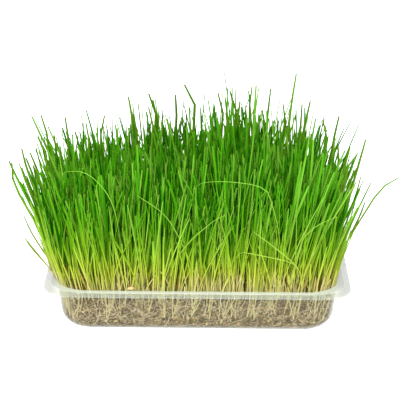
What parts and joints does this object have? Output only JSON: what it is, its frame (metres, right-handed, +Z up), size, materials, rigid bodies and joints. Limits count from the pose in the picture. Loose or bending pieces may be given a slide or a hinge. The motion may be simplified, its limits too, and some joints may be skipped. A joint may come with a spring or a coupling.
{
  "type": "wheatgrass tray",
  "caption": "Dense upright turf of young wheatgrass growing from a layer of growing medium in a clear rectangular plastic food tray with rounded corners and a wide stepped rim.",
  "frame": {"origin": "centre of the tray's flat underside, on the surface that it stands on", "axes": "+Z up, +X along the tray's long side, -Y out of its front long side"},
  "size_m": [0.314, 0.182, 0.193],
  "materials": {
    "clear_plastic": "gloss",
    "growing_medium": "matte",
    "grass": "satin"
  },
  "bodies": {
    "root": {"tray": "clear_plastic", "soil": "growing_medium", "grass_bunch_1_1": "grass", "grass_bunch_1_2": "grass", "grass_bunch_1_3": "grass", "grass_bunch_1_4": "grass", "grass_bunch_1_5": "grass", "grass_bunch_1_6": "grass", "grass_bunch_1_7": "grass", "grass_bunch_1_8": "grass", "grass_bunch_1_9": "grass", "grass_bunch_2_1": "grass", "grass_bunch_2_2": "grass", "grass_bunch_2_3": "grass", "grass_bunch_2_4": "grass", "grass_bunch_2_5": "grass", "grass_bunch_2_6": "grass", "grass_bunch_2_7": "grass", "grass_bunch_2_8": "grass", "grass_bunch_2_9": "grass", "grass_bunch_3_1": "grass", "grass_bunch_3_2": "grass", "grass_bunch_3_3": "grass", "grass_bunch_3_4": "grass", "grass_bunch_3_5": "grass", "grass_bunch_3_6": "grass", "grass_bunch_3_7": "grass", "grass_bunch_3_8": "grass", "grass_bunch_3_9": "grass", "grass_bunch_4_1": "grass", "grass_bunch_4_2": "grass", "grass_bunch_4_3": "grass", "grass_bunch_4_4": "grass", "grass_bunch_4_5": "grass", "grass_bunch_4_6": "grass", "grass_bunch_4_7": "grass", "grass_bunch_4_8": "grass", "grass_bunch_4_9": "grass", "grass_bunch_5_1": "grass", "grass_bunch_5_2": "grass", "grass_bunch_5_3": "grass", "grass_bunch_5_4": "grass", "grass_bunch_5_5": "grass", "grass_bunch_5_6": "grass", "grass_bunch_5_7": "grass", "grass_bunch_5_8": "grass", "grass_bunch_5_9": "grass", "grass_bunch_6_1": "grass", "grass_bunch_6_2": "grass", "grass_bunch_6_3": "grass", "grass_bunch_6_4": "grass", "grass_bunch_6_5": "grass", "grass_bunch_6_6": "grass", "grass_bunch_6_7": "grass", "grass_bunch_6_8": "grass", "grass_bunch_6_9": "grass"}
  },
  "joints": []
}
